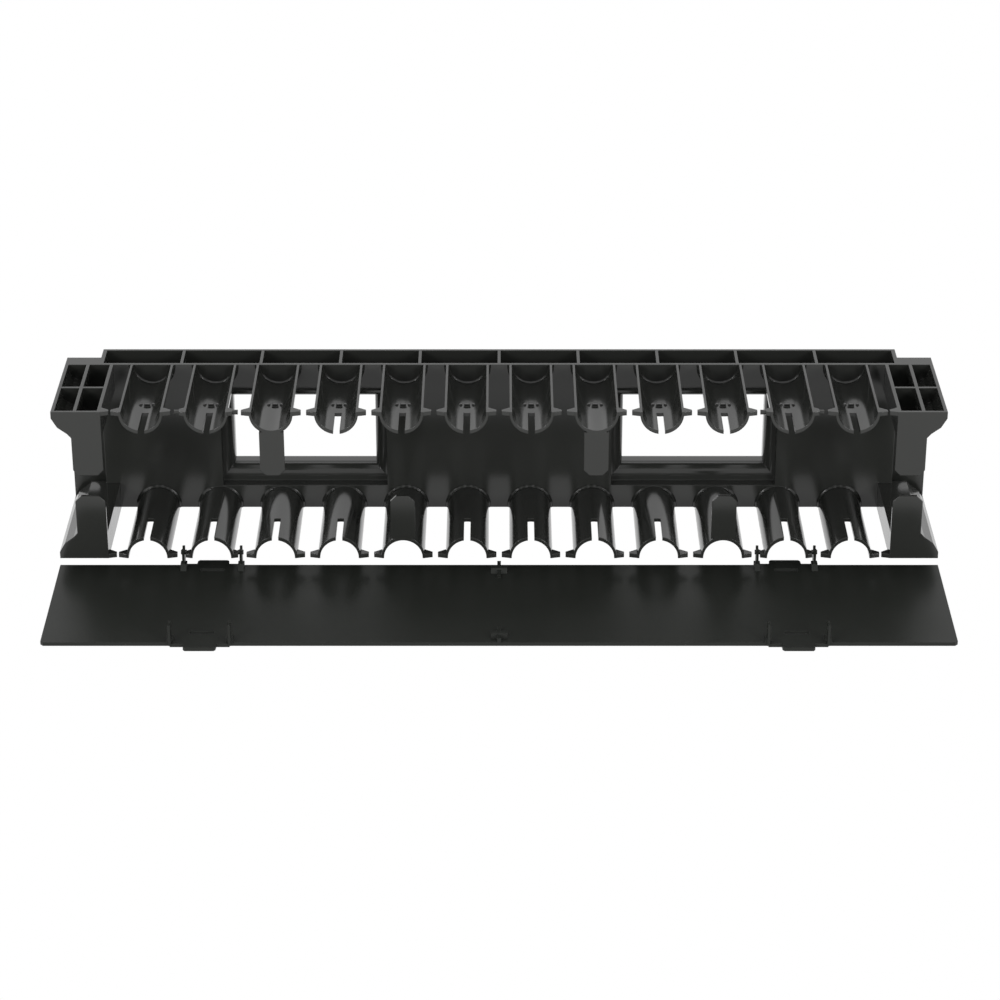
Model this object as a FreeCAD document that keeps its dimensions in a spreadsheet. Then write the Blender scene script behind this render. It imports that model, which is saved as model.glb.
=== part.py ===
import FreeCAD, Part
import os
import Sketcher

# Two-unit horizontal cable manager for a 19 inch rack, with its hinged cover
# lying open.  Frame: X to the right, Y to the back, Z up.  The origin is the
# middle of the mounting slot pattern, on the plane where the flanges meet the
# rack rails.

doc = FreeCAD.newDocument("cable_manager")
sheet = doc.addObject("Spreadsheet::Sheet", "Sizes")

SIZES = """
half_high 44.05
half_wide 241.3
wall 1.8
plate_front 10
plate_thick 2.2
rear_face 11.8
row_pitch 35.1
finger_long 64
finger_half 11.8
finger_deep 13
rim_wall 1.2
crown_wall 2
finger_count 12
slot_half 1.75
slot_long 23
nub_half 1.5
nub_front 32
nub_deep 2
nub_high 1.3
pip_near 2.7
pip_far 4
barb_base 6.5
barb_out 4.3
barb_thick 2.4
barb_tip_near 1.2
barb_tip_far 3.2
tab_half 6.7
tab_drop 37.8
tab_thick 2
tab_cut 3.2
block_inner 214.6
block_low 15.4
flank_a_z 3.8
flank_b_x 238.2
flank_b_z 9.2
flank_c_x 233.2
flank_c_z 12.9
flank_d_x 231
cell_mid 228.5
cell_rear_at 42
flange_thick 3.1
flange_half 41.5
slot_x 232.55
slot_z 22.225
slot_r 3.35
slot_run 4.3
beam_half 222.4
rib_pitch 44.2
rib_half 0.8
port_x 109.7
port_half 46.5
port_high 30.25
port_step 6.5
throat_half 39.9
throat_high 20.75
port_front_r 6.3
port_rear_r 4
pivot_front 70
pivot_low 42.3
pin_r 1.3
pin_play 0.06
arm_at 15.8
arm_half 0.7
boss_end 14.4
pin_end 17.2
hinge_at 157.95
cover_half 242.3
cover_wide 86
cover_thick 2
cover_below 8.4
cover_over 0.7
cover_corner 1.5
droop 1.3
thumb_half 8.6
thumb_out 5.5
thumb_step 1.3
slit_half 6.6
slit_near 4.3
slit_far 6.9
slit_fore_near 9.4
slit_fore_far 12
arm_back 2.6
arm_fore 3.2
arm_foot 8
arm_tip 2.8
foot_half 1.7
foot_high 2.6
lug_half 4.4
lug_near 4.3
lug_far 10.8
lug_high 2.5
fin_half 1
"""
NAMES = []
for line in SIZES.strip().splitlines():
    alias, value = line.split()
    NAMES.append(alias)
    sheet.set("A%d" % len(NAMES), alias)
    sheet.set("B%d" % len(NAMES), value)
    sheet.setAlias("B%d" % len(NAMES), alias)
doc.recompute()


def bound(text):
    """Turn the size names in an expression into references to the sheet."""
    out, word = "", ""
    for letter in text + " ":
        if letter.isalpha() or letter == "_":
            word += letter
        else:
            out += ("Sizes." + word if word in NAMES else word) + letter
            word = ""
    return out.strip()


trial = doc.addObject("Spreadsheet::Sheet", "Trial")


def number(text):
    """What an expression comes to now, worked out on a scratch sheet."""
    trial.set("A1", "=" + bound(text))
    trial.recompute()
    return float(trial.get("A1"))


def new_sketch(body, name, role, offset="0"):
    """A sketch on one of the body's origin planes, moved along the plane's normal."""
    sketch = body.newObject("Sketcher::SketchObject", name)
    plane = [f for f in body.Origin.OriginFeatures if f.Role == role][0]
    sketch.AttachmentSupport = (plane, [""])
    sketch.MapMode = "FlatFace"
    sketch.setExpression("AttachmentOffset.Base.z", bound(offset))
    return sketch


def hold(sketch, geometry, end, kind, text):
    index = sketch.addConstraint(
        Sketcher.Constraint(kind, -1, 1, geometry, end, number(text)))
    sketch.setExpression("Constraints[%d]" % index, bound(text))


def outline(sketch, points):
    """A closed outline with straight edges; every corner is bound to the sheet."""
    spots = [FreeCAD.Vector(number(x), number(y), 0) for x, y in points]
    count = len(points)
    lines = [sketch.addGeometry(Part.LineSegment(spots[k], spots[(k + 1) % count]), False)
             for k in range(count)]
    for k in range(count):
        sketch.addConstraint(
            Sketcher.Constraint("Coincident", lines[k], 2, lines[(k + 1) % count], 1))
    for line, (x, y) in zip(lines, points):
        hold(sketch, line, 1, "DistanceX", x)
        hold(sketch, line, 1, "DistanceY", y)


def rectangle(sketch, x_low, x_high, y_low, y_high):
    outline(sketch, [(x_low, y_low), (x_high, y_low), (x_high, y_high), (x_low, y_high)])


def arch(sketch, middle, half, rim, spring, up):
    """Two straight legs from the rim to the spring line, closed by a half circle."""
    left = "%s - %s" % (middle, half)
    right = "%s + %s" % (middle, half)
    xl, xr, zr, zs = number(left), number(right), number(rim), number(spring)
    a = FreeCAD.Vector(xl, zr, 0)
    b = FreeCAD.Vector(xl, zs, 0)
    c = FreeCAD.Vector(xr, zs, 0)
    d = FreeCAD.Vector(xr, zr, 0)
    leg = sketch.addGeometry(Part.LineSegment(a, b), False)
    top = FreeCAD.Vector((xl + xr) / 2, zs + (1 if up else -1) * (xr - xl) / 2, 0)
    bow = sketch.addGeometry(Part.Arc(b, top, c), False)
    other = sketch.addGeometry(Part.LineSegment(c, d), False)
    mouth = sketch.addGeometry(Part.LineSegment(d, a), False)
    near, far = (2, 1) if up else (1, 2)
    for one, end_one, two, end_two in ((leg, 2, bow, near), (bow, far, other, 1),
                                       (other, 2, mouth, 1), (mouth, 2, leg, 1)):
        sketch.addConstraint(Sketcher.Constraint("Coincident", one, end_one, two, end_two))
    for geometry, x, y in ((leg, left, rim), (other, right, spring)):
        hold(sketch, geometry, 1, "DistanceX", x)
        hold(sketch, geometry, 1, "DistanceY", y)
    hold(sketch, leg, 2, "DistanceX", left)
    hold(sketch, leg, 2, "DistanceY", spring)
    hold(sketch, mouth, 1, "DistanceX", right)
    hold(sketch, mouth, 1, "DistanceY", rim)
    hold(sketch, bow, 3, "DistanceY", spring)


def ring(sketch, x, y, radius):
    circle = sketch.addGeometry(
        Part.Circle(FreeCAD.Vector(number(x), number(y), 0), FreeCAD.Vector(0, 0, 1), number(radius)),
        False)
    hold(sketch, circle, 3, "DistanceX", x)
    hold(sketch, circle, 3, "DistanceY", y)
    index = sketch.addConstraint(Sketcher.Constraint("Radius", circle, number(radius)))
    sketch.setExpression("Constraints[%d]" % index, bound(radius))


def feature(body, kind, name, sketch, length=None, through=False, both=False, turned=False):
    item = body.newObject("PartDesign::" + kind, name)
    item.Profile = sketch
    item.Reversed = turned
    item.Midplane = both
    if through:
        item.Type = "ThroughAll"
    else:
        item.setExpression("Length", bound(length))
    sketch.Visibility = False
    body.Tip = item
    return item


def row(body, name, original, sketch, axis, length, count, backwards=False):
    item = body.newObject("PartDesign::LinearPattern", name)
    item.Originals = [original]
    item.Direction = (sketch, [axis])
    item.setExpression("Length", bound(length))
    item.setExpression("Occurrences", bound(count))
    item.Reversed = backwards
    body.Tip = item
    return item


def fillet(body, name, base, radius, wanted):
    """Round the edges of the last feature that pass the test."""
    doc.recompute()
    names = ["Edge%d" % (k + 1) for k, edge in enumerate(base.Shape.Edges) if wanted(edge)]
    item = body.newObject("PartDesign::Fillet", name)
    item.Base = (base, names)
    item.setExpression("Radius", bound(radius))
    body.Tip = item
    return item


def size(name):
    return float(sheet.get(name))


SIDES = ("", "-")

# ---- the moulded body -------------------------------------------------------
body = doc.addObject("PartDesign::Body", "manager_body")

sketch = new_sketch(body, "PlateOutline", "XZ_Plane", "plate_front - plate_thick")
rectangle(sketch, "-beam_half", "beam_half", "-half_high", "half_high")
feature(body, "Pad", "Plate", sketch, "plate_thick")

# beam behind the plate: solid first, then hollowed from above into ribbed cells
sketch = new_sketch(body, "BeamOutline", "XZ_Plane", "-rear_face")
rectangle(sketch, "-beam_half", "beam_half", "-half_high", "half_high")
feature(body, "Pad", "Beam", sketch, "rear_face + plate_front - plate_thick")

sketch = new_sketch(body, "CellOutline", "XY_Plane")
rectangle(sketch, "-5 * rib_pitch + rib_half", "-4 * rib_pitch - rib_half",
          "plate_thick - plate_front", "rear_face - wall")
cells = feature(body, "Pocket", "BeamCell", sketch, through=True, both=True)
row(body, "BeamCells", cells, sketch, "H_Axis", "9 * rib_pitch", "10")

# collars round the two pass-through openings
sketch = new_sketch(body, "CollarOutline", "XZ_Plane", "-rear_face")
for sign in SIDES:
    middle = sign + "port_x"
    rectangle(sketch, middle + " - port_half - wall", middle + " + port_half + wall",
              "-port_high - wall", "port_high + wall")
feature(body, "Pad", "Collars", sketch, "rear_face + plate_front")

# end blocks with their stepped outer flank
sketch = new_sketch(body, "BlockOutline", "XZ_Plane", "plate_front - plate_thick")
for sx in SIDES:
    for sz in SIDES:
        outline(sketch, [
            (sx + "block_inner", "%shalf_high" % sz),
            (sx + "half_wide", "%shalf_high" % sz),
            (sx + "half_wide", "%s(half_high - flank_a_z)" % sz),
            (sx + "flank_b_x", "%s(half_high - flank_b_z)" % sz),
            (sx + "flank_c_x", "%s(half_high - flank_c_z)" % sz),
            (sx + "flank_d_x", "%s(half_high - block_low)" % sz),
            (sx + "block_inner", "%s(half_high - block_low)" % sz)])
feature(body, "Pad", "Blocks", sketch, "plate_thick + finger_long")

# behind each block only its top web and its outer side wall run back to the rail
sketch = new_sketch(body, "WebOutline", "XZ_Plane")
for sx in SIDES:
    for sz in SIDES:
        outline(sketch, [
            (sx + "(beam_half - wall)", sz + "half_high"), (sx + "half_wide", sz + "half_high"),
            (sx + "half_wide", sz + "(half_high - flank_a_z)"),
            (sx + "(half_wide - wall)", sz + "(half_high - flank_a_z)"),
            (sx + "(half_wide - wall)", sz + "(half_high - wall)"),
            (sx + "(beam_half - wall)", sz + "(half_high - wall)")])
feature(body, "Pad", "Webs", sketch, "plate_front")

sketch = new_sketch(body, "FlangeOutline", "XZ_Plane")
for sx in SIDES:
    rectangle(sketch, sx + "(beam_half - wall)", sx + "half_wide", "-flange_half", "flange_half")
feature(body, "Pad", "Flanges", sketch, "flange_thick")

sketch = new_sketch(body, "CheekOutline", "XZ_Plane")
for sx in SIDES:
    rectangle(sketch, sx + "(beam_half - wall)", sx + "beam_half", "-half_high", "half_high")
feature(body, "Pad", "Cheeks", sketch, "plate_front")

# cable fingers, both rows
sketch = new_sketch(body, "FingerOutline", "XZ_Plane", "plate_front")
first = "-5.5 * row_pitch"
arch(sketch, first, "finger_half", "half_high", "half_high - finger_deep + finger_half", False)
arch(sketch, first, "finger_half", "-half_high", "finger_deep - finger_half - half_high", True)
pad = feature(body, "Pad", "Finger", sketch, "finger_long")
row(body, "Fingers", pad, sketch, "H_Axis", "(finger_count - 1) * row_pitch", "finger_count")

# barbs at the finger tips, sideways from each rim
sketch = new_sketch(body, "BarbOutline", "XY_Plane", "half_high")
tip = "-plate_front - finger_long"
for way in ("-", "+"):
    wall_x = "%s %s (finger_half - rim_wall / 2)" % (first, way)
    tip_x = "%s %s (finger_half + barb_out)" % (first, way)
    outline(sketch, [(wall_x, tip), (wall_x, tip + " + barb_base"),
                     (tip_x, tip + " + barb_tip_far"), (tip_x, tip + " + barb_tip_near")])
pad = feature(body, "Pad", "BarbUpper", sketch, "barb_thick", turned=True)
row(body, "BarbsUpper", pad, sketch, "H_Axis", "(finger_count - 1) * row_pitch", "finger_count")
sketch = new_sketch(body, "BarbOutlineLow", "XY_Plane", "-half_high")
for way in ("-", "+"):
    wall_x = "%s %s (finger_half - rim_wall / 2)" % (first, way)
    tip_x = "%s %s (finger_half + barb_out)" % (first, way)
    outline(sketch, [(wall_x, tip), (wall_x, tip + " + barb_base"),
                     (tip_x, tip + " + barb_tip_far"), (tip_x, tip + " + barb_tip_near")])
pad = feature(body, "Pad", "BarbLower", sketch, "barb_thick")
row(body, "BarbsLower", pad, sketch, "H_Axis", "(finger_count - 1) * row_pitch", "finger_count")

# the end blocks carry one barb each on their inner side
for name, level, turned in (("EndBarbUpper", "half_high", True), ("EndBarbLower", "-half_high", False)):
    sketch = new_sketch(body, name + "Outline", "XY_Plane", level)
    for sx in SIDES:
        outline(sketch, [(sx + "(block_inner + 0.5)", tip), (sx + "(block_inner + 0.5)", tip + " + barb_base"),
                         (sx + "(block_inner - barb_out)", tip + " + barb_tip_far"),
                         (sx + "(block_inner - barb_out)", tip + " + barb_tip_near")])
    feature(body, "Pad", name, sketch, "barb_thick", turned=turned)

# retaining tabs hanging from (or standing on) some finger tips and the end blocks
sketch = new_sketch(body, "TabOutline", "XZ_Plane", "plate_front + finger_long - tab_thick")
for middle, sz in (("-3.5 * row_pitch", ""), ("1.5 * row_pitch", ""),
                   ("3.5 * row_pitch", "-"), ("-1.5 * row_pitch", "-")):
    root = "%s(half_high - finger_deep + crown_wall / 2)" % sz
    outline(sketch, [
        (middle + " - tab_half", root), (middle + " + tab_half", root),
        (middle + " + tab_half", "%s(half_high - tab_drop + tab_cut)" % sz),
        (middle + " + tab_half - tab_cut", "%s(half_high - tab_drop)" % sz),
        (middle + " - tab_half + tab_cut", "%s(half_high - tab_drop)" % sz),
        (middle + " - tab_half", "%s(half_high - tab_drop + tab_cut)" % sz)])
for sx in SIDES:
    for sz in SIDES:
        root = "%s(half_high - block_low + wall / 2)" % sz
        outline(sketch, [
            (sx + "block_inner", root), (sx + "flank_d_x", root),
            (sx + "flank_d_x", "%s(half_high - tab_drop + tab_cut)" % sz),
            (sx + "(flank_d_x - tab_cut)", "%s(half_high - tab_drop)" % sz),
            (sx + "(block_inner + tab_cut)", "%s(half_high - tab_drop)" % sz),
            (sx + "block_inner", "%s(half_high - tab_drop + tab_cut)" % sz)])
feature(body, "Pad", "Tabs", sketch, "tab_thick")

# hollow every finger
hollow = "(finger_half - rim_wall)"
depth = "half_high - finger_deep + crown_wall"
sketch = new_sketch(body, "TroughOutline", "XZ_Plane", "plate_front + finger_long")
arch(sketch, first, hollow, "half_high", depth + " + " + hollow, False)
arch(sketch, first, hollow, "-half_high", "-(" + depth + " + " + hollow + ")", True)
cut = feature(body, "Pocket", "Trough", sketch, "finger_long")
row(body, "Troughs", cut, sketch, "H_Axis", "(finger_count - 1) * row_pitch", "finger_count")

# slot through the crown of each finger that has no tab
for name, tabbed, turned in (("SlotsUpper", (-3.5, 1.5), True), ("SlotsLower", (3.5, -1.5), False)):
    sketch = new_sketch(body, name + "Outline", "XY_Plane")
    for k in range(12):
        place = k - 5.5
        middle = "%s * row_pitch" % place
        if place not in tabbed:
            rectangle(sketch, middle + " - slot_half", middle + " + slot_half",
                      "-plate_front - finger_long - 1", "-plate_front - finger_long + slot_long")
    feature(body, "Pocket", name, sketch, through=True, turned=turned)

# a small nub stands in each trough behind the slot, between two low pips
sketch = new_sketch(body, "NubOutline", "XZ_Plane", "plate_front + nub_front - nub_deep")
for sz in SIDES:
    rectangle(sketch, first + " - nub_half", first + " + nub_half",
              "%s(%s - crown_wall / 2)" % (sz, depth), "%s(%s + nub_high)" % (sz, depth))
    for way in ("-", "+"):
        rectangle(sketch, "%s %s pip_near" % (first, way), "%s %s pip_far" % (first, way),
                  "%s(%s)" % (sz, depth), "%s(%s + nub_high)" % (sz, depth))
pad = feature(body, "Pad", "Nub", sketch, "nub_deep")
row(body, "Nubs", pad, sketch, "H_Axis", "(finger_count - 1) * row_pitch", "finger_count")

# open cells in the end blocks
sketch = new_sketch(body, "BlockCellOutline", "XZ_Plane", "plate_front + finger_long - wall")
for sx in SIDES:
    for sz in SIDES:
        rectangle(sketch, sx + "(block_inner + wall)", sx + "(cell_mid - wall / 2)",
                  "%shalf_high" % sz, "%s(half_high - block_low + wall)" % sz)
        outline(sketch, [
            (sx + "(cell_mid + wall / 2)", "%shalf_high" % sz),
            (sx + "(half_wide - wall)", "%shalf_high" % sz),
            (sx + "(half_wide - wall)", "%s(half_high - flank_a_z)" % sz),
            (sx + "(flank_b_x - wall)", "%s(half_high - flank_b_z + wall / 2)" % sz),
            (sx + "(cell_mid + wall / 2)", "%s(half_high - flank_c_z + wall / 2)" % sz)])
cut = feature(body, "Pocket", "BlockCell", sketch, "cell_rear_at - plate_front - wall")
row(body, "BlockCells", cut, sketch, "N_Axis", "cell_rear_at - plate_front", "2", backwards=True)

# mounting slots in the flanges
sketch = new_sketch(body, "MountSlotOutline", "XZ_Plane")
for sx in SIDES:
    for sz in SIDES:
        rectangle(sketch, "%sslot_x - slot_run / 2 - slot_r" % sx, "%sslot_x + slot_run / 2 + slot_r" % sx,
                  "%sslot_z - slot_r" % sz, "%sslot_z + slot_r" % sz)
slots = feature(body, "Pocket", "MountSlots", sketch, "flange_thick", turned=True)
fillet(body, "MountSlotEnds", slots, "slot_r - 0.01", lambda e: (
    abs(abs(e.CenterOfMass.z) - size("slot_z")) < size("slot_r") + 0.1
    and abs(e.CenterOfMass.x) > size("block_inner") + 5
    and abs(e.CenterOfMass.y + size("flange_thick") / 2) < 0.1
    and abs(e.Vertexes[0].Point.y - e.Vertexes[-1].Point.y) > 1
    and abs(abs(e.CenterOfMass.x) - size("half_wide")) > 1))

# pass-through openings: a stepped pocket, then the throat with rounded mouths
sketch = new_sketch(body, "PortOutline", "XZ_Plane", "plate_front")
for sign in SIDES:
    middle = sign + "port_x"
    rectangle(sketch, middle + " - port_half", middle + " + port_half", "-port_high", "port_high")
feature(body, "Pocket", "Ports", sketch, "port_step")
sketch = new_sketch(body, "ThroatOutline", "XZ_Plane", "plate_front")
for sign in SIDES:
    middle = sign + "port_x"
    rectangle(sketch, middle + " - throat_half", middle + " + throat_half", "-throat_high", "throat_high")
throat = feature(body, "Pocket", "Throats", sketch, "plate_front + rear_face")


def mouth_edge(level):
    def test(edge):
        spot = edge.CenterOfMass
        flat = all(abs(v.Point.y - level) < 0.01 for v in edge.Vertexes)
        off = abs(abs(spot.x) - size("port_x"))
        side = abs(off - size("throat_half")) < 0.01 and abs(spot.z) < 1
        cap = off < 1 and abs(abs(spot.z) - size("throat_high")) < 0.01
        return flat and (side or cap)
    return test


last = fillet(body, "MouthFront", throat, "port_front_r",
              mouth_edge(size("port_step") - size("plate_front")))
fillet(body, "MouthRear", last, "port_rear_r", mouth_edge(size("rear_face")))

# ---- the cover, drawn flat with its inner face up ---------------------------
cover = doc.addObject("PartDesign::Body", "cover")
EDGE = "(-pivot_front + cover_over)"
FACE = "(-pivot_low - cover_below)"
FAR = "(-pivot_front + cover_over - cover_wide)"

sketch = new_sketch(cover, "CoverOutline", "XY_Plane", FACE)
outline(sketch, [
    ("cover_corner - cover_half", FAR), ("cover_half - cover_corner", FAR),
    ("cover_half", FAR + " + cover_corner"), ("cover_half", EDGE), ("-cover_half", EDGE),
    ("-cover_half", FAR + " + cover_corner")])
feature(cover, "Pad", "CoverPlate", sketch, "cover_thick", turned=True)

sketch = new_sketch(cover, "ThumbOutline", "XY_Plane", FACE)
for sign in SIDES:
    middle = sign + "hinge_at"
    for edge, way in ((EDGE, "+"), (FAR, "-")):
        step = "%s %s thumb_step" % (edge, way)
        near = "%s %s (thumb_out - 1)" % (edge, way)
        out = "%s %s thumb_out" % (edge, way)
        back = "%s %s -2" % (edge, way)
        outline(sketch, [
            (middle + " - arm_at", back), (middle + " - arm_at", step),
            (middle + " - thumb_half - 0.3", step), (middle + " - thumb_half", near),
            (middle + " - thumb_half + 1", out), (middle + " + thumb_half - 1", out),
            (middle + " + thumb_half", near), (middle + " + thumb_half + 0.3", step),
            (middle + " + arm_at", step), (middle + " + arm_at", back)])
feature(cover, "Pad", "Thumbs", sketch, "cover_thick", turned=True)

sketch = new_sketch(cover, "SlitOutline", "XY_Plane", FACE)
for sign in SIDES:
    middle = sign + "hinge_at"
    rectangle(sketch, middle + " - slit_half", middle + " + slit_half",
              EDGE + " - slit_far", EDGE + " - slit_near")
    rectangle(sketch, middle + " - slit_half", middle + " + slit_half",
              FAR + " + slit_fore_near", FAR + " + slit_fore_far")
feature(cover, "Pocket", "Slits", sketch, through=True, both=True)

# hook arms: upright fins on a wider foot, with an open mouth that takes the hinge pin
FRONT_PIVOT = "(2 * cover_over - pivot_front - cover_wide)"
for name, place in (("A", "hinge_at - arm_at"), ("B", "hinge_at + arm_at"),
                    ("C", "-hinge_at - arm_at"), ("D", "-hinge_at + arm_at")):
    sketch = new_sketch(cover, "Arm%sOutline" % name, "YZ_Plane", place)
    for pivot, way, back in (("(-pivot_front)", "-", "+"), (FRONT_PIVOT, "+", "-")):
        outline(sketch, [
            ("%s %s arm_back" % (pivot, back), FACE + " - cover_thick / 2"),
            ("%s %s arm_back" % (pivot, back), "-pivot_low + arm_tip"),
            ("%s %s arm_fore" % (pivot, way), "-pivot_low + arm_tip"),
            ("%s %s arm_fore" % (pivot, way), FACE + " + foot_high"),
            ("%s %s arm_foot" % (pivot, way), FACE + " - cover_thick / 2")])
    feature(cover, "Pad", "Arm" + name, sketch, "2 * arm_half", both=True)
    sketch = new_sketch(cover, "Foot%sOutline" % name, "YZ_Plane", place)
    for pivot, way, back in (("(-pivot_front)", "-", "+"), (FRONT_PIVOT, "+", "-")):
        outline(sketch, [
            ("%s %s cover_over" % (pivot, back), FACE + " - cover_thick / 2"),
            ("%s %s cover_over" % (pivot, back), FACE + " + foot_high"),
            ("%s %s arm_fore" % (pivot, way), FACE + " + foot_high"),
            ("%s %s arm_foot" % (pivot, way), FACE + " - cover_thick / 2")])
    feature(cover, "Pad", "Foot" + name, sketch, "2 * foot_half", both=True)
sketch = new_sketch(cover, "MouthOutline", "YZ_Plane")
for pivot in ("-pivot_front", FRONT_PIVOT):
    arch(sketch, pivot, "(pin_r + pin_play)", "-pivot_low + arm_tip", "-pivot_low", False)
feature(cover, "Pocket", "Mouths", sketch, through=True, both=True)

# a low lug in the middle of both long edges, with a thin rib out to the edge
sketch = new_sketch(cover, "LugOutline", "YZ_Plane")
for edge, way in ((EDGE, "-"), (FAR, "+")):
    outline(sketch, [
        ("%s %s lug_near" % (edge, way), FACE + " - cover_thick / 2"),
        ("%s %s (lug_near + 0.8)" % (edge, way), FACE + " + lug_high"),
        ("%s %s (lug_far - 2.5)" % (edge, way), FACE + " + lug_high"),
        ("%s %s lug_far" % (edge, way), FACE + " - cover_thick / 2")])
feature(cover, "Pad", "Lugs", sketch, "2 * lug_half", both=True)
sketch = new_sketch(cover, "FinOutline", "YZ_Plane")
for edge, way in ((EDGE, "-"), (FAR, "+")):
    outline(sketch, [
        (edge, FACE + " - cover_thick / 2"), (edge, FACE + " + lug_high"),
        ("%s %s (lug_far + 4)" % (edge, way), FACE + " + lug_high / 2"),
        ("%s %s (lug_far + 4)" % (edge, way), FACE + " - cover_thick / 2")])
feature(cover, "Pad", "Fins", sketch, "2 * fin_half", both=True)

doc.recompute()
pivot = FreeCAD.Vector(0, -size("pivot_front"), -size("pivot_low"))
cover.Placement = FreeCAD.Placement(
    FreeCAD.Vector(0, 0, 0), FreeCAD.Rotation(FreeCAD.Vector(1, 0, 0), size("droop")), pivot)

# ---- hinge pins on the body -------------------------------------------------
sketch_pins = []
for name, place in (("A", "hinge_at"), ("B", "-hinge_at")):
    for way, mark in (("+", "R"), ("-", "L")):
        sketch = new_sketch(body, "PinOutline" + name + mark, "YZ_Plane",
                            "%s %s boss_end" % (place, way))
        ring(sketch, "-pivot_front", "pivot_low", "pin_r")
        ring(sketch, "-pivot_front", "-pivot_low", "pin_r")
        sketch_pins.append((sketch, name + mark, way))
sketch = new_sketch(body, "PinRoomOutline", "XY_Plane")
for place in SIDES:
    for way in ("+", "-"):
        inner = "%shinge_at %s boss_end" % (place, way)
        outer = "%shinge_at %s (pin_end + 0.3)" % (place, way)
        rectangle(sketch, inner, outer, tip + " - 1", tip + " + barb_base + 1")
feature(body, "Pocket", "PinRoom", sketch, through=True, both=True)
for sketch, mark, way in sketch_pins:
    item = feature(body, "Pad", "Pin" + mark, sketch, "pin_end - boss_end + 0.4", turned=(way == "-"))
    sketch.setExpression("AttachmentOffset.Base.z", bound(
        ("hinge_at" if mark[0] == "A" else "-hinge_at") + " %s (boss_end - 0.4)" % way))
doc.removeObject("Trial")
doc.recompute()
print("body", body.Shape.isValid(), len(body.Shape.Solids), len(body.Shape.Faces))
print("cover", cover.Shape.isValid(), len(cover.Shape.Solids), len(cover.Shape.Faces))

# ---- checks and export ------------------------------------------------------
for item in doc.Objects:
    if "Invalid" in item.State or "Error" in item.State:
        raise RuntimeError("feature %s is in state %s" % (item.Name, item.State))
for item in (body, cover):
    if item.Shape.isNull() or not item.Shape.isValid() or len(item.Shape.Solids) != 1:
        raise RuntimeError("part %s has no single valid solid" % item.Label)

os.makedirs("parts", exist_ok=True)
body.Shape.exportStep("parts/manager_body.step")
cover.Shape.exportStep("parts/cover.step")
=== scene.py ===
"""Looks, light and camera for a two-unit horizontal cable manager with its cover open."""
import math

import bmesh
import bpy
import numpy as np
from mathutils import Matrix, Vector


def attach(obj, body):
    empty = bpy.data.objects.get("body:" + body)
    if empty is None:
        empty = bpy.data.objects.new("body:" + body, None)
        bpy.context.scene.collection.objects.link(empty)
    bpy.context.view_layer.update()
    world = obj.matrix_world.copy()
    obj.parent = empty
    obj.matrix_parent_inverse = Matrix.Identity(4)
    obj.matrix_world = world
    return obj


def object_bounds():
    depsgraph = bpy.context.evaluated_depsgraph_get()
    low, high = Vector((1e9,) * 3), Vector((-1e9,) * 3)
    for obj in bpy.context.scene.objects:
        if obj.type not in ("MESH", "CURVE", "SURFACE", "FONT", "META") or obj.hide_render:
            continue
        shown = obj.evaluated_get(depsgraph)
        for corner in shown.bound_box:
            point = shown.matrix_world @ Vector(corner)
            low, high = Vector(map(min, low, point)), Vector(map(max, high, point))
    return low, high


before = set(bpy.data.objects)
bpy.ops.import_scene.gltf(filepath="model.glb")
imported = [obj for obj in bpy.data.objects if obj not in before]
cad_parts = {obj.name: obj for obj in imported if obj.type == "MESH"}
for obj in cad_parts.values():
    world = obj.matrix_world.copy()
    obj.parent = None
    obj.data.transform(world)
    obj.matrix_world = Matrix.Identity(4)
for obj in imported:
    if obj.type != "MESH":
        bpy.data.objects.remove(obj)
CAD_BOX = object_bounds()

bl_info = {
    "name": "Horizontal cable manager",
    "version": (1, 0, 0),
    "blender": (4, 5, 0),
    "location": "3D View > Sidebar > Cable manager",
    "description": "Finishes, stage and camera for a moulded rack cable manager",
    "category": "Object",
}

MM = 0.001

BODY_MATERIAL = "moulded_black_abs_body"
COVER_MATERIAL = "moulded_black_abs_cover"

# where the moulded fingers leave the back plate, in mm as in the CAD sheet
FINGER_COUNT = 12
FINGER_PITCH = 35.1
FINGER_RIM = CAD_BOX[1][2] / MM
PLATE_FRONT = -10.0
OUTSIDE = {"radius": 11.8, "centre": 42.85}
INSIDE = {"radius": 10.6, "centre": 43.65}

# a root fillet: how deep its hidden corner is sunk, and its points across and along
ROOT_SINK = 0.2
ROOT_ACROSS = 7
ROOT_ALONG = 15
SHARP_FROM = math.radians(50)

# fingers whose middle lies between these distances from the centre stand over a
# port, and their outer fillet stops short of it, in degrees from one leg to the other
PORTS = (60.0, 160.0)
WHOLE_ARC = ((0, 180),)
BROKEN_ARC = ((0, 64), (116, 180))

# lamps: name, place and size in metres, power in watts
LAMPS = (
    ("lamp_top", (0, 0.2, 1.3), 1.0, 3),
    ("lamp_left", (-1.11, -1.42, 0.6), 0.5, 12),
    ("lamp_right", (1.11, -1.42, 0.6), 0.5, 11),
)
WORLD_STRENGTH = 0.5
FLOOR_HALF = 4.0

# the point that the camera is set out from, and how far it is lowered from there
AIM = Vector((0.5, -40, 0)) * MM
LOWERED = 22.5 * MM


def hex_to_linear(text):
    """sRGB hex such as '1A1A1C' to a linear RGBA colour."""
    levels = [int(text[k:k + 2], 16) / 255 for k in (0, 2, 4)]
    return [v / 12.92 if v <= 0.04045 else ((v + 0.055) / 1.055) ** 2.4 for v in levels] + [1.0]


def colour(default_hex, name, description):
    return bpy.props.FloatVectorProperty(
        name=name, description=description, default=hex_to_linear(default_hex)[:3],
        subtype="COLOR", size=3, min=0, max=1)


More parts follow.
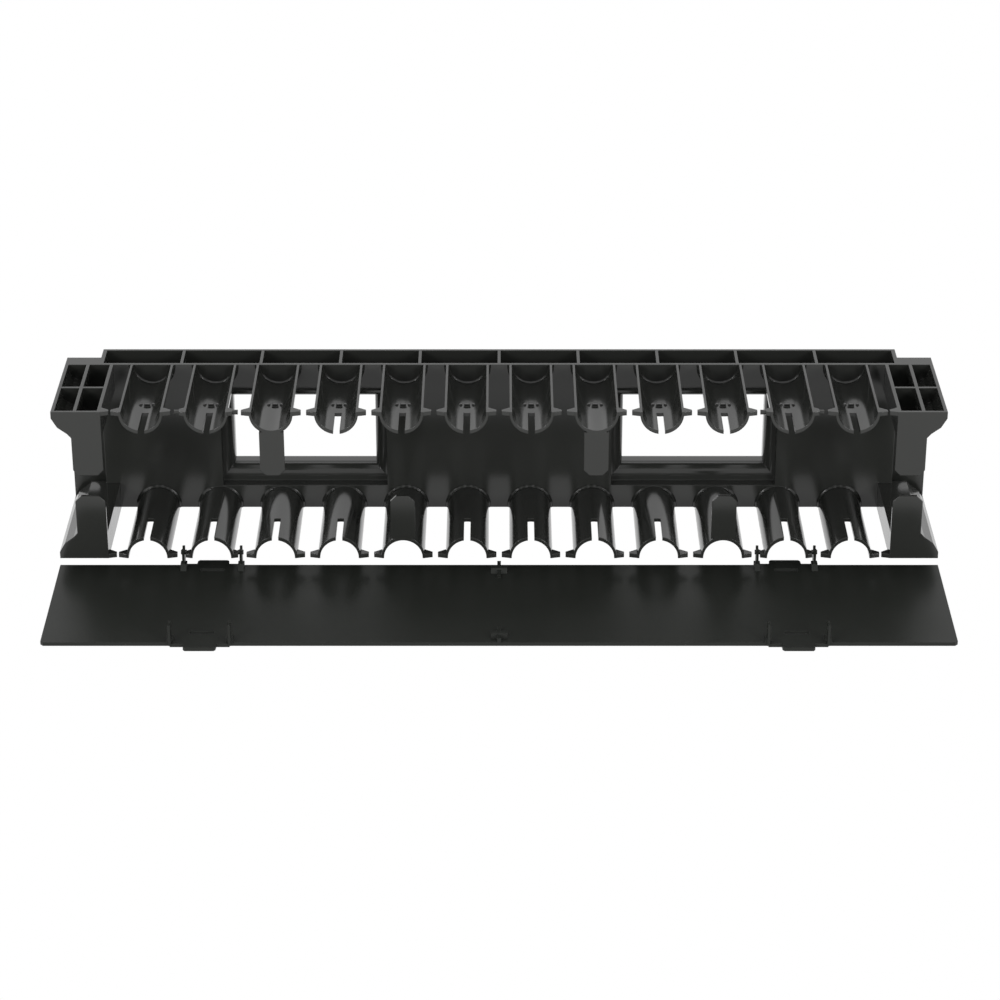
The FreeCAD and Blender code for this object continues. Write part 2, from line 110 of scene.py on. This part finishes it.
class FinishSettings(bpy.types.PropertyGroup):
    body_colour: colour("292A28", "Body colour", "Colour of the moulded body")
    cover_colour: colour("1F211E", "Cover colour", "Colour of the moulded cover")
    body_roughness: bpy.props.FloatProperty(
        name="Body roughness", description="Roughness of the moulded skin", default=0.15,
        min=0, max=1, subtype="FACTOR")
    cover_roughness: bpy.props.FloatProperty(
        name="Cover roughness", description="Roughness of the cover's inner face", default=0.36,
        min=0, max=1, subtype="FACTOR")
    body_gloss: bpy.props.FloatProperty(
        name="Body gloss", description="Strength of the body's reflection", default=0.45,
        min=0, max=1, subtype="FACTOR")
    cover_gloss: bpy.props.FloatProperty(
        name="Cover gloss", description="Strength of the cover's reflection", default=0.22,
        min=0, max=1, subtype="FACTOR")
    edge_round: bpy.props.FloatProperty(
        name="Edge rounding", description="Radius that the mould leaves on every sharp edge",
        default=0.5 * MM, min=0, subtype="DISTANCE", unit="LENGTH")
    outer_root: bpy.props.FloatProperty(
        name="Outer root radius", description="Fillet round the foot of each finger",
        default=1.2 * MM, min=0, subtype="DISTANCE", unit="LENGTH")
    inner_root: bpy.props.FloatProperty(
        name="Inner root radius", description="Fillet at the back of each trough",
        default=0.9 * MM, min=0, subtype="DISTANCE", unit="LENGTH")
    ripple_size: bpy.props.FloatProperty(
        name="Flow ripple", description="Spacing of the slow waves that moulding leaves",
        default=38 * MM, min=0, subtype="DISTANCE", unit="LENGTH")
    ripple_depth: bpy.props.FloatProperty(
        name="Ripple depth", description="Height of those waves", default=0.03 * MM,
        min=0, subtype="DISTANCE", unit="LENGTH")
    grain_size: bpy.props.FloatProperty(
        name="Skin grain", description="Size of the fine grain of the mould's skin",
        default=0.9 * MM, min=0, subtype="DISTANCE", unit="LENGTH")
    grain_depth: bpy.props.FloatProperty(
        name="Grain depth", description="Height of the fine grain", default=0.008 * MM,
        min=0, subtype="DISTANCE", unit="LENGTH")


class StageSettings(bpy.types.PropertyGroup):
    pitch: bpy.props.FloatProperty(
        name="Pitch", description="How far the camera looks down", default=math.radians(26.0),
        subtype="ANGLE", unit="ROTATION")
    distance: bpy.props.FloatProperty(
        name="Distance", description="Camera to the middle of the object", default=1710 * MM,
        subtype="DISTANCE", unit="LENGTH")
    lens: bpy.props.FloatProperty(
        name="Lens", description="Focal length on a 36 mm sensor", default=111.2, min=1)
    floor_drop: bpy.props.FloatProperty(
        name="Floor drop", description="Gap between the lowest point and the floor",
        default=2 * MM, subtype="DISTANCE", unit="LENGTH")
    background: colour("FFFFFF", "Background", "Colour of the floor and backdrop")


def add_node(tree, kind, inputs=(), links=(), **settings):
    """One node with its settings, its input values and its incoming links."""
    node = tree.nodes.new(kind)
    for name, value in settings.items():
        setattr(node, name, value)
    for socket, value in dict(inputs).items():
        node.inputs[socket].default_value = value
    for socket, source in dict(links).items():
        tree.links.new(source, node.inputs[socket])
    return node


def moulded_plastic(name, base, roughness, gloss, settings):
    """Black ABS as it leaves a polished steel mould.

    The skin is close to a mirror but slow flow waves bend what it reflects, and
    a fine grain softens the edges of the reflection.
    """
    material = bpy.data.materials.new(name)
    material.use_nodes = True
    tree = material.node_tree
    tree.nodes.clear()
    place = add_node(tree, "ShaderNodeTexCoord").outputs["Object"]
    ripple = add_node(tree, "ShaderNodeTexNoise", {"Scale": 1 / settings.ripple_size, "Detail": 1.0},
                      {"Vector": place})
    grain = add_node(tree, "ShaderNodeTexNoise", {"Scale": 1 / settings.grain_size, "Detail": 2.0},
                     {"Vector": place})
    edges = add_node(tree, "ShaderNodeBevel", {"Radius": settings.edge_round}, samples=6)
    waves = add_node(tree, "ShaderNodeBump", {"Strength": 1.0, "Distance": settings.ripple_depth},
                     {"Height": ripple.outputs["Fac"], "Normal": edges.outputs["Normal"]})
    skin = add_node(tree, "ShaderNodeBump", {"Strength": 1.0, "Distance": settings.grain_depth},
                    {"Height": grain.outputs["Fac"], "Normal": waves.outputs["Normal"]})
    wear = add_node(tree, "ShaderNodeMapRange", {"From Min": 0.3, "From Max": 0.7,
                                                 "To Min": roughness - 0.03, "To Max": roughness + 0.03},
                    {"Value": ripple.outputs["Fac"]})
    shader = add_node(tree, "ShaderNodeBsdfPrincipled",
                      {"Base Color": list(base) + [1.0], "IOR": 1.5, "Metallic": 0.0,
                       "Specular IOR Level": gloss},
                      {"Roughness": wear.outputs["Result"], "Normal": skin.outputs["Normal"]})
    add_node(tree, "ShaderNodeOutputMaterial", links={"Surface": shader.outputs["BSDF"]})
    return material


def paint(node, material):
    """Gives a CAD node its material in every slot."""
    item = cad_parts[node]
    if not item.material_slots:
        item.data.materials.append(material)
    for slot in item.material_slots:
        slot.link = "OBJECT"
        slot.material = material


class CABLE_OT_body(bpy.types.Operator):
    """Finish the moulded body: back plate, fingers, end blocks and flanges"""
    bl_idname = "cable.body"
    bl_label = "Finish body"

    def execute(self, context):
        finish = context.scene.cable_finish
        paint("manager_body", moulded_plastic(
            BODY_MATERIAL, finish.body_colour, finish.body_roughness,
            finish.body_gloss, finish))
        return {"FINISHED"}


def foot_path(middle, side, centre, start, end):
    """Rows of centre x, centre z and the outward x, z round a finger's foot.

    The way out turns about the arc's centre from start to end degrees, where 0
    and 180 are the two legs, and a leg that is reached is followed to the rim.
    """
    turn = np.radians(np.linspace(start, end, ROOT_ALONG))
    path = np.stack([np.full_like(turn, middle), np.full_like(turn, side * centre),
                     np.cos(turn), -side * np.sin(turn)], axis=1)
    first, last = path[:1].copy(), path[-1:].copy()
    first[:, 1] = last[:, 1] = side * FINGER_RIM
    return np.concatenate([first[:start == 0], path, last[:end == 180]])


def root_profile(radius, way, rounding):
    """Distance from the arc's centre and depth along Y of a fillet's closed outline.

    A quarter circle runs from the finger's wall to the plate and bends away from
    the corner between them; the last point is sunk in that corner.
    """
    turn = np.radians(np.linspace(0, 90, ROOT_ACROSS))
    out = radius + way * rounding * (1 - np.cos(turn))
    depth = PLATE_FRONT - rounding * (1 - np.sin(turn))
    return np.append(out, radius - way * ROOT_SINK), np.append(depth, PLATE_FRONT + ROOT_SINK)


def carried_profile(profile, path):
    """Vertices and faces of a closed profile carried along a path, with end caps.

    Vertex (k, j) is centre k, moved out by distance j and along Y to depth j.
    """
    out, depth = profile
    x, z, way_x, way_z = (column[:, None] for column in path.T)
    count, ring = len(path), len(out)
    vertices = np.stack([x + out * way_x, np.broadcast_to(depth, (count, ring)),
                         z + out * way_z], axis=-1).reshape(-1, 3)
    row, column = np.indices((count - 1, ring))
    here, after = row * ring + column, row * ring + (column + 1) % ring
    quads = np.stack([here, after, after + ring, here + ring], axis=-1).reshape(-1, 4)
    caps = [list(range(ring)), list(range((count - 1) * ring, count * ring))]
    return vertices, quads.tolist() + caps


class CABLE_OT_roots(bpy.types.Operator):
    """Round the foot of every finger, inside and outside"""
    bl_idname = "cable.roots"
    bl_label = "Add root fillets"

    def execute(self, context):
        finish = context.scene.cable_finish
        outside = root_profile(OUTSIDE["radius"], 1, finish.outer_root / MM)
        inside = root_profile(INSIDE["radius"], -1, finish.inner_root / MM)
        vertices, faces, total = [], [], 0
        for middle in (np.arange(FINGER_COUNT) - (FINGER_COUNT - 1) / 2) * FINGER_PITCH:
            over_port = PORTS[0] < abs(middle) < PORTS[1]
            outer_arcs = BROKEN_ARC if over_port else WHOLE_ARC
            strips = [(outside, OUTSIDE["centre"], arc) for arc in outer_arcs]
            strips += [(inside, INSIDE["centre"], arc) for arc in WHOLE_ARC]
            for side in (-1, 1):
                for profile, centre, arc in strips:
                    points, loops = carried_profile(
                        profile, foot_path(middle, side, centre, *arc))
                    vertices.append(points)
                    faces += [[total + k for k in loop] for loop in loops]
                    total += len(points)
        mesh = bpy.data.meshes.new("finger_root_fillets")
        mesh.from_pydata(np.concatenate(vertices) * MM, [], faces)
        shell = bmesh.new()
        shell.from_mesh(mesh)
        bmesh.ops.recalc_face_normals(shell, faces=shell.faces[:])
        shell.to_mesh(mesh)
        shell.free()
        mesh.shade_smooth()
        mesh.set_sharp_from_angle(angle=SHARP_FROM)
        mesh.materials.append(bpy.data.materials[BODY_MATERIAL])
        roots = bpy.data.objects.new("finger_root_fillets", mesh)
        context.scene.collection.objects.link(roots)
        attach(roots, "body")
        return {"FINISHED"}


class CABLE_OT_cover(bpy.types.Operator):
    """Finish the moulded cover"""
    bl_idname = "cable.cover"
    bl_label = "Finish cover"

    def execute(self, context):
        finish = context.scene.cable_finish
        paint("cover", moulded_plastic(
            COVER_MATERIAL, finish.cover_colour, finish.cover_roughness,
            finish.cover_gloss, finish))
        return {"FINISHED"}


def white_to_eye(tree, shader, strength):
    """Full white where the camera or a reflection looks, the shader elsewhere."""
    path = add_node(tree, "ShaderNodeLightPath")
    seen = add_node(tree, "ShaderNodeMath", operation="MAXIMUM",
                    links={0: path.outputs["Is Camera Ray"], 1: path.outputs["Is Glossy Ray"]})
    seen = add_node(tree, "ShaderNodeMath", operation="MAXIMUM",
                    links={0: seen.outputs[0], 1: path.outputs["Is Transmission Ray"]})
    glow = add_node(tree, "ShaderNodeBackground" if strength is None else "ShaderNodeEmission",
                    {"Color": (1, 1, 1, 1), "Strength": 1.0})
    return add_node(tree, "ShaderNodeMixShader",
                    links={0: seen.outputs[0], 1: shader.outputs[0], 2: glow.outputs[0]})


class CABLE_OT_stage(bpy.types.Operator):
    """Floor, light and camera"""
    bl_idname = "cable.stage"
    bl_label = "Set the stage"

    def execute(self, context):
        scene = context.scene
        stage = scene.cable_stage
        scene.view_settings.view_transform = "Standard"
        low = Vector(CAD_BOX[0])
        self.floor(low, stage)
        self.world(scene)
        self.lamps()
        self.camera(scene, stage)
        return {"FINISHED"}

    def floor(self, low, stage):
        level = low.z - stage.floor_drop
        mesh = bpy.data.meshes.new("floor")
        corners = [(x * FLOOR_HALF, y * FLOOR_HALF, level)
                   for x, y in ((-1, -1), (1, -1), (1, 1), (-1, 1))]
        mesh.from_pydata(corners, [], [(0, 1, 2, 3)])
        floor = bpy.data.objects.new("floor", mesh)
        bpy.context.scene.collection.objects.link(floor)
        material = bpy.data.materials.new("pale_floor")
        material.use_nodes = True
        tree = material.node_tree
        tree.nodes.clear()
        matt = add_node(tree, "ShaderNodeBsdfDiffuse", {"Color": list(stage.background) + [1.0]})
        both = white_to_eye(tree, matt, 1.0)
        add_node(tree, "ShaderNodeOutputMaterial", links={"Surface": both.outputs[0]})
        mesh.materials.append(material)

    def world(self, scene):
        world = bpy.data.worlds.new("pale_room")
        scene.world = world
        world.use_nodes = True
        tree = world.node_tree
        tree.nodes.clear()
        room = add_node(tree, "ShaderNodeBackground",
                        {"Color": (1, 1, 1, 1), "Strength": WORLD_STRENGTH})
        both = white_to_eye(tree, room, None)
        add_node(tree, "ShaderNodeOutputWorld", links={"Surface": both.outputs[0]})

    def lamps(self):
        for name, place, size, power in LAMPS:
            lamp = bpy.data.lights.new(name, "AREA")
            lamp.size = size
            lamp.energy = power
            item = bpy.data.objects.new(name, lamp)
            item.location = place
            item.rotation_euler = Vector(place).to_track_quat("Z", "Y").to_euler()
            bpy.context.scene.collection.objects.link(item)

    def camera(self, scene, stage):
        """The camera looks along +Y and down by the pitch."""
        ahead = Vector((0, math.cos(stage.pitch), -math.sin(stage.pitch)))
        above = Vector((0, math.sin(stage.pitch), math.cos(stage.pitch)))
        place = AIM - stage.distance * ahead - LOWERED * above
        camera = bpy.data.cameras.new("camera")
        camera.lens = stage.lens
        camera.sensor_width = 36
        camera.dof.use_dof = False
        item = bpy.data.objects.new("camera", camera)
        item.matrix_world = Matrix.Translation(place) @ Matrix((
            (1, 0, 0, 0), (0, above.y, -ahead.y, 0), (0, above.z, -ahead.z, 0), (0, 0, 0, 1)))
        scene.collection.objects.link(item)
        scene.camera = item


class CABLE_PT_panel(bpy.types.Panel):
    """Sizes, finishes and the steps that use them"""
    bl_idname = "CABLE_PT_panel"
    bl_label = "Cable manager"
    bl_space_type = "VIEW_3D"
    bl_region_type = "UI"
    bl_category = "Cable manager"

    def draw(self, context):
        layout = self.layout
        for group in (context.scene.cable_finish, context.scene.cable_stage):
            box = layout.box()
            for name in group.bl_rna.properties.keys():
                if name not in ("rna_type", "name"):
                    box.prop(group, name)
        for operator in OPERATORS:
            layout.operator(operator.bl_idname)


OPERATORS = (CABLE_OT_body, CABLE_OT_roots, CABLE_OT_cover, CABLE_OT_stage)
CLASSES = (FinishSettings, StageSettings) + OPERATORS + (CABLE_PT_panel,)


def register():
    for item in CLASSES:
        bpy.utils.register_class(item)
    bpy.types.Scene.cable_finish = bpy.props.PointerProperty(type=FinishSettings)
    bpy.types.Scene.cable_stage = bpy.props.PointerProperty(type=StageSettings)


def unregister():
    del bpy.types.Scene.cable_stage
    del bpy.types.Scene.cable_finish
    for item in reversed(CLASSES):
        bpy.utils.unregister_class(item)


def main():
    register()
    bpy.ops.cable.body()
    bpy.ops.cable.roots()
    bpy.ops.cable.cover()
    bpy.ops.cable.stage()
    bpy.context.view_layer.update()


if __name__ == "__main__":
    main()
